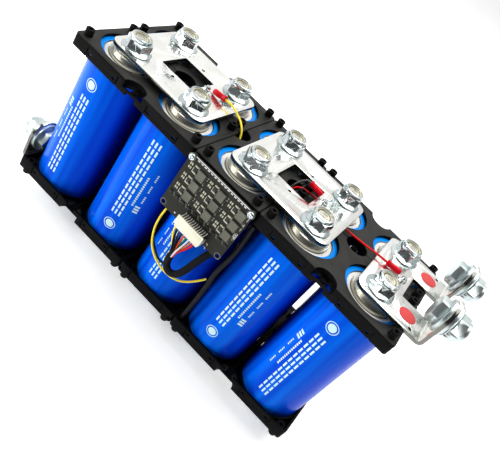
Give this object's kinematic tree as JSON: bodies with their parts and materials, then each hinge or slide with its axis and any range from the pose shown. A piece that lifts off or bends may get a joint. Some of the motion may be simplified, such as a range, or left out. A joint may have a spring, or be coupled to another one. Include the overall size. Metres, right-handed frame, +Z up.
{
  "type": "supercapacitor pack",
  "caption": "Supercapacitor pack of sleeved cylindrical cells in two rows, with moulded holders, link plates, bent-up terminals and a balance board.",
  "frame": {"origin": "middle of the pack's bounding box, on the floor under the lower nuts", "axes": "+X along the rows towards the positive terminal plate, +Y from the balance board to the back, +Z up"},
  "size_m": [0.39, 0.1472, 0.2056],
  "materials": {
    "cell_aluminium": "turned, satin",
    "blue_sleeve": "glossy heat-shrink film",
    "insulating_ring_white": "plain",
    "holder_black": "fine-grained moulding",
    "plate_nickel": "bright nickel plating",
    "nut_zinc": "bright zinc plating",
    "bolt_steel": "bright, lightly brushed",
    "nylon": "translucent cream",
    "dot_red": "printed disc",
    "board_black": "matt solder mask",
    "chip_grey": "moulded package",
    "resistor_black": "with tinned ends",
    "small_parts_pale": "with tinned ends",
    "header_cream": "natural nylon",
    "pin_tin": "tinned",
    "screw_steel": "bright",
    "spacer_black": "plain",
    "lug_tin": "tinned",
    "lug_sleeve_red": "vinyl",
    "cable_black": "soft, satin",
    "lead_yellow": "vinyl insulation",
    "lead_grey": "vinyl insulation",
    "lead_red": "vinyl insulation",
    "plug_wire_mixed": "vinyl insulation, nine colours"
  },
  "bodies": {
    "root": {"balance_board": "board_black", "balance_chips": "chip_grey", "bleed_resistors": "resistor_black", "board_header": "header_cream", "board_screws": "screw_steel", "board_small_parts": "small_parts_pale", "board_spacers": "spacer_black", "cell_1_back": "cell_aluminium", "cell_1_front": "cell_aluminium", "cell_2_back": "cell_aluminium", "cell_2_front": "cell_aluminium", "cell_3_back": "cell_aluminium", "cell_3_front": "cell_aluminium", "cell_4_back": "cell_aluminium", "cell_4_front": "cell_aluminium", "cell_5_back": "cell_aluminium", "cell_5_front": "cell_aluminium", "cell_sleeves": "blue_sleeve", "grey_sense_lead": "lead_grey", "harness_jacket": "cable_black", "header_pins": "pin_tin", "holder_bottom_left_back": "holder_black", "holder_bottom_left_front": "holder_black", "holder_bottom_middle": "holder_black", "holder_bottom_right_back": "holder_black", "holder_bottom_right_front": "holder_black", "holder_top_left_back": "holder_black", "holder_top_left_front": "holder_black", "holder_top_middle": "holder_black", "holder_top_right_back": "holder_black", "holder_top_right_front": "holder_black", "insulating_rings": "insulating_ring_white", "link_plate_bottom_2_3": "plate_nickel", "link_plate_bottom_4_5": "plate_nickel", "link_plate_top_1_2": "plate_nickel", "link_plate_top_3_4": "plate_nickel", "lug_screws": "screw_steel", "lug_sleeves": "lug_sleeve_red", "negative_terminal_plate": "plate_nickel", "nut_locking_rings": "nylon", "plug_wires": "plug_wire_mixed", "polarity_dots": "dot_red", "positive_terminal_plate": "plate_nickel", "red_sense_lead": "lead_red", "ring_lugs": "lug_tin", "stud_nuts_bottom": "nut_zinc", "stud_nuts_top": "nut_zinc", "terminal_bolts": "bolt_steel", "terminal_nuts": "nut_zinc", "terminal_washers": "bolt_steel", "thin_black_lead": "cable_black", "valley_cable": "cable_black", "wire_plug": "header_cream", "yellow_sense_lead": "lead_yellow"}
  },
  "joints": []
}
